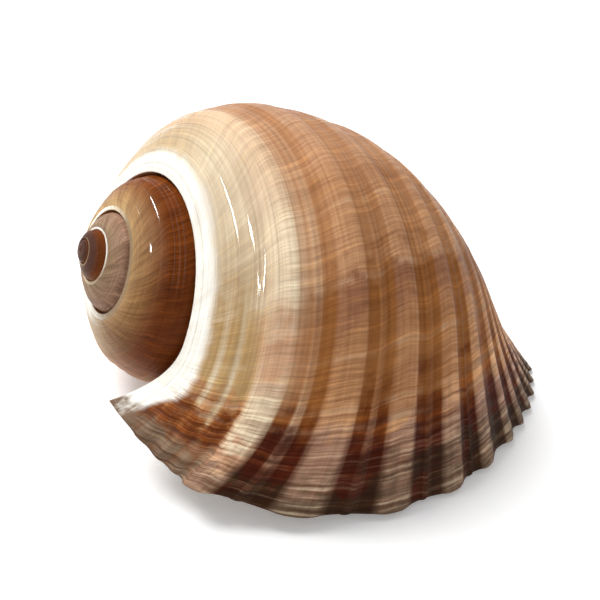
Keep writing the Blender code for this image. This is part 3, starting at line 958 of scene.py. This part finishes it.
    def worn(self, colour):
        """The colour with pale lines on its raised threads, painted glints on the ribs next to the lip and
        pale old edges across them.
        """
        w, c, place, mottle, stripes = self.w, self.c, self.place, self.mottle, self.stripes
        # Pale lines on the raised threads: partly the threads' own colour, partly painted glints.
        fine = w.step(w.plus(self.cords, w.times(self.threads, 0.35)), 0.7, 0.84, 0.0, 0.3)
        colour = w.mix(w.times(fine, w.step(place, 0.08, 0.14)), colour, c.cream, "SOFT_LIGHT")
        # Painted glints: pale biscuit lines on the threads next to the lip.
        painted_glints = w.times(w.step(self.threads, 0.54, 0.64), w.step(self.turn_here, 0.02, 0.06, 0.6, 0.0))
        patches = w.times(w.step(mottle, 0.35, 0.6), w.step(stripes, 0.0, 1.0, 1.0, 0.15))
        painted_glints = w.times(painted_glints, patches)
        colour = w.mix(w.times(painted_glints, w.step(place, 0.2, 0.26)), colour, c.biscuit)
        edges = w.times(w.bands(self.old_turn, OLD_EDGES), w.step(mottle, 0.35, 0.65, 0.0, 0.24))
        return w.mix(w.times(edges, w.step(stripes, 0.0, 1.0, 1.0, 0.35)), colour, c.cream)

    def fine_lines(self):
        """The fine raised lines that take the polish, on the body whorl's shoulder and on the spire."""
        w, turn = self.w, self.turn
        drift = w.times(w.centred(w.noise(turn, self.place, scale=9.0)), 0.004)
        line_place = w.plus(self.place, drift)
        on_spire = w.step(turn, 0.85, 0.95)
        body = w.times(w.bands(line_place, BODY_LINES), w.step(turn, 0.12, 0.17), w.minus(1.0, on_spire))
        return w.plus(body, w.times(w.bands(line_place, SPIRE_LINES), w.times(on_spire, 0.45)))

    def finish(self):
        """Joins colour, gloss and relief to the surface."""
        w, turn, surface = self.w, self.turn, self.surface
        w.join(self.worn(self.grown(self.whole())), surface.inputs["Base Color"])
        w.join(w.step(self.mottle, 0.3, 0.7, 0.3, 0.42), surface.inputs["Roughness"])
        scales = w.plus(self.threads, w.times(self.cords, 1.5))
        lined = w.bump(w.plus(w.times(scales, self.fresh), w.times(self.streaks, 0.15)), 0.6, 0.0006)
        fine_lines = self.fine_lines()
        raised = w.plus(fine_lines, w.times(self.ridges, 0.12))
        w.join(w.bump(raised, 1.0, 0.00014, Normal=lined), surface.inputs["Normal"])
        polished = w.plus(w.fall(turn, 0.45, 0.6), w.band(turn, 1.25, 0.1, 0.06))
        w.join(w.times(w.step(fine_lines, 0.05, 0.25), polished), surface.inputs["Coat Weight"])
        surface.inputs["Specular IOR Level"].default_value = 0.06
        surface.inputs["Coat Roughness"].default_value = 0.05
        return self.material


def glaze_material(colours, growth):
    """The inside of the mouth and the columella: smooth porcelain, warmer further in."""
    material, w, surface = new_material("porcelain_glaze")
    turn, place = w.attribute("turn"), w.attribute("place")
    lines = w.node("ShaderNodeGroup", {"Turn": turn, "Place": place, "Rib": 0.25}, node_tree=growth).outputs
    colour = w.mix(w.step(turn, 0.02, 0.35), colours.porcelain, colours.amber)
    clouds = w.times(w.step(lines["Bands"], 0.35, 0.7), 0.25)
    colour = w.mix(clouds, colour, colours.cloud, "MULTIPLY")
    edge = w.times(w.fall(turn, 0.0, 0.012), 0.7)
    w.join(w.mix(edge, colour, colours.edge), surface.inputs["Base Color"])
    w.join(w.step(lines["Mottle"], 0.3, 0.7, 0.18, 0.3), surface.inputs["Roughness"])
    w.join(w.bump(lines["Bands"], 0.15, 0.0004), surface.inputs["Normal"])
    return material


class WindTunShell(bpy.types.Operator):
    """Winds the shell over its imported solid"""

    bl_idname = "tun_shell.wind"
    bl_label = "Wind the shell"

    def execute(self, context):
        section = Section(context.scene.tun_shell_sizes)
        colours = context.scene.tun_shell_colours
        mesh = joined([wound_wall(section), solid_spire(section), axis_pillar(section)])
        set_on_floor(mesh)
        place_layer = mesh.verts.layers.float["place"]
        for face in mesh.faces:
            face.smooth = True
            face.material_index = int(max(vert[place_layer] for vert in face.verts) > GLAZE_FROM)
        shell = added("tun_shell", mesh_data("tun_shell", mesh))
        growth = growth_group()
        shell.data.materials.append(Skin(colours, growth).finish())
        shell.data.materials.append(glaze_material(colours, growth))
        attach(shell, "root")
        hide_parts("shell")
        return {"FINISHED"}


class TunShellStage(bpy.types.PropertyGroup):
    """Where the camera stands and how bright the light is."""

    azimuth: number("Azimuth", "The camera's way round the shell", math.radians(-27.38), subtype="ANGLE")
    elevation: number("Elevation", "The camera's height", math.radians(34.86), subtype="ANGLE")
    roll: number("Roll", "The camera's tilt", math.radians(4.72), subtype="ANGLE")
    distance: number("Distance", "From the camera to the shell", 0.421, unit="LENGTH")
    lens: number("Lens", "Focal length in millimetres", 69.12)
    lamp: number("Lamp", "Power of the large soft lamp in watts", 78.0)
    glint: number("Glint", "Power of the lamp that only gloss shows, in watts", 80.0)
    sky: number("Sky", "Strength of the even light", 0.46)


# Where the camera aims, from the middle of the shell's box.
AIM = Vector((-0.0105, -0.0030, -0.0108))

# Lamps as (azimuth and elevation in degrees, distance) and (width, height), in metres.
SOFT_LAMP = ((-145, 56, 2.7), (1.4, 1.4))
GLINT_LAMP = ((-102, 40, 2.6), (3.6, 0.16))

# The floor's half width and paleness, what the camera adds to it, and where it turns into a white backdrop.
FLOOR_HALF = 4.0
FLOOR_PALENESS = 0.95
FLOOR_LIFT = 0.19
BACKDROP = (0.28, 0.60)
WHITE = (1, 1, 1)


def towards(azimuth, elevation):
    """The way from the shell to what stands at this azimuth and elevation."""
    flat = math.cos(elevation)
    return Vector((math.sin(azimuth) * flat, -math.cos(azimuth) * flat, math.sin(elevation)))


class SetTunShellStage(bpy.types.Operator):
    """Sets the floor, the light and the camera"""

    bl_idname = "tun_shell.stage"
    bl_label = "Set the stage"

    def execute(self, context):
        stage = context.scene.tun_shell_stage
        context.scene.view_settings.view_transform = "Standard"
        self.add_floor()
        self.add_sky(context, stage.sky)
        centre = (SHELL_LOW + SHELL_HIGH) / 2
        soft_lamp = self.add_lamp("soft_lamp", centre, *SOFT_LAMP, stage.lamp)
        soft_lamp.visible_glossy = False
        glint_lamp = self.add_lamp("glint_lamp", centre, *GLINT_LAMP, stage.glint)
        glint_lamp.visible_diffuse = False
        self.add_camera(context, stage, centre + AIM)
        return {"FINISHED"}

    def add_floor(self):
        """A pale floor that turns into a white backdrop further out and can be seen through from below."""
        mesh = bmesh.new()
        bmesh.ops.create_grid(mesh, x_segments=8, y_segments=8, size=FLOOR_HALF)
        floor = added("floor", mesh_data("floor", mesh))
        material, w, surface = new_material("pale_floor")
        w.join([FLOOR_PALENESS] * 3, surface.inputs["Base Color"])
        w.join(0.9, surface.inputs["Roughness"])
        seen = w.node("ShaderNodeLightPath").outputs["Is Camera Ray"]
        lifted = w.node("ShaderNodeEmission", {"Color": WHITE, "Strength": w.times(seen, FLOOR_LIFT)})
        near = w.node("ShaderNodeAddShader", {0: surface.outputs[0], 1: lifted.outputs[0]})
        place = w.node("ShaderNodeTexCoord").outputs["Object"]
        away = w.node("ShaderNodeVectorMath", {0: place}, operation="LENGTH").outputs["Value"]
        far = w.times(w.step(away, *BACKDROP), seen)
        backdrop = w.node("ShaderNodeEmission", {"Color": WHITE, "Strength": 1.0})
        above = w.node("ShaderNodeMixShader", {0: far, 1: near.outputs[0], 2: backdrop.outputs[0]})
        under = w.times(w.node("ShaderNodeNewGeometry").outputs["Backfacing"], seen)
        clear = w.node("ShaderNodeBsdfTransparent")
        whole = w.node("ShaderNodeMixShader", {0: under, 1: above.outputs[0], 2: clear.outputs[0]})
        w.join(whole.outputs[0], material.node_tree.nodes["Material Output"].inputs["Surface"])
        floor.data.materials.append(material)

    def add_sky(self, context, strength):
        """Even white light, which the camera sees as pure white."""
        world = bpy.data.worlds.new("studio")
        world.use_nodes = True
        w = Wiring(world.node_tree)
        back = world.node_tree.nodes["Background"]
        w.join(WHITE, back.inputs["Color"])
        seen = w.node("ShaderNodeLightPath").outputs["Is Camera Ray"]
        w.join(w.step(seen, 0.0, 1.0, strength, 1.0), back.inputs["Strength"])
        context.scene.world = world

    def add_lamp(self, name, centre, place, size, power):
        """A rectangular lamp at this azimuth, elevation and distance, facing the shell."""
        azimuth, elevation, distance = place
        back = towards(math.radians(azimuth), math.radians(elevation))
        data = bpy.data.lights.new(name, "AREA")
        data.shape = "RECTANGLE"
        data.energy = power
        data.size, data.size_y = size
        lamp = added(name, data)
        lamp.location = centre + back * distance
        lamp.rotation_euler = back.to_track_quat("Z", "Y").to_euler()
        return lamp

    def add_camera(self, context, stage, target):
        back = towards(stage.azimuth, stage.elevation)
        level = back.to_track_quat("Z", "Y").to_matrix()
        data = bpy.data.cameras.new("camera")
        data.lens = stage.lens
        data.clip_start = 0.01
        camera = added("camera", data)
        turned = level @ Matrix.Rotation(stage.roll, 3, "Z")
        camera.matrix_world = Matrix.Translation(target + back * stage.distance) @ turned.to_4x4()
        context.scene.camera = camera


class TunShellPanel(bpy.types.Panel):
    """Lists the shell's sizes, colours and operators"""

    bl_idname = "VIEW3D_PT_tun_shell"
    bl_label = "Tun shell"
    bl_space_type = "VIEW_3D"
    bl_region_type = "UI"
    bl_category = "Tun shell"

    def draw(self, context):
        scene = context.scene
        for group in (scene.tun_shell_sizes, scene.tun_shell_colours, scene.tun_shell_stage):
            for name in group.__annotations__:
                self.layout.prop(group, name)
        self.layout.operator(WindTunShell.bl_idname)
        self.layout.operator(SetTunShellStage.bl_idname)


CLASSES = (TunShellSizes, TunShellColours, TunShellStage, WindTunShell, SetTunShellStage, TunShellPanel)


def register():
    for cls in CLASSES:
        bpy.utils.register_class(cls)
    bpy.types.Scene.tun_shell_sizes = PointerProperty(type=TunShellSizes)
    bpy.types.Scene.tun_shell_colours = PointerProperty(type=TunShellColours)
    bpy.types.Scene.tun_shell_stage = PointerProperty(type=TunShellStage)


def unregister():
    del bpy.types.Scene.tun_shell_sizes
    del bpy.types.Scene.tun_shell_colours
    del bpy.types.Scene.tun_shell_stage
    for cls in reversed(CLASSES):
        bpy.utils.unregister_class(cls)


def main():
    register()
    bpy.ops.tun_shell.wind()
    bpy.ops.tun_shell.stage()


if __name__ == "__main__":
    main()
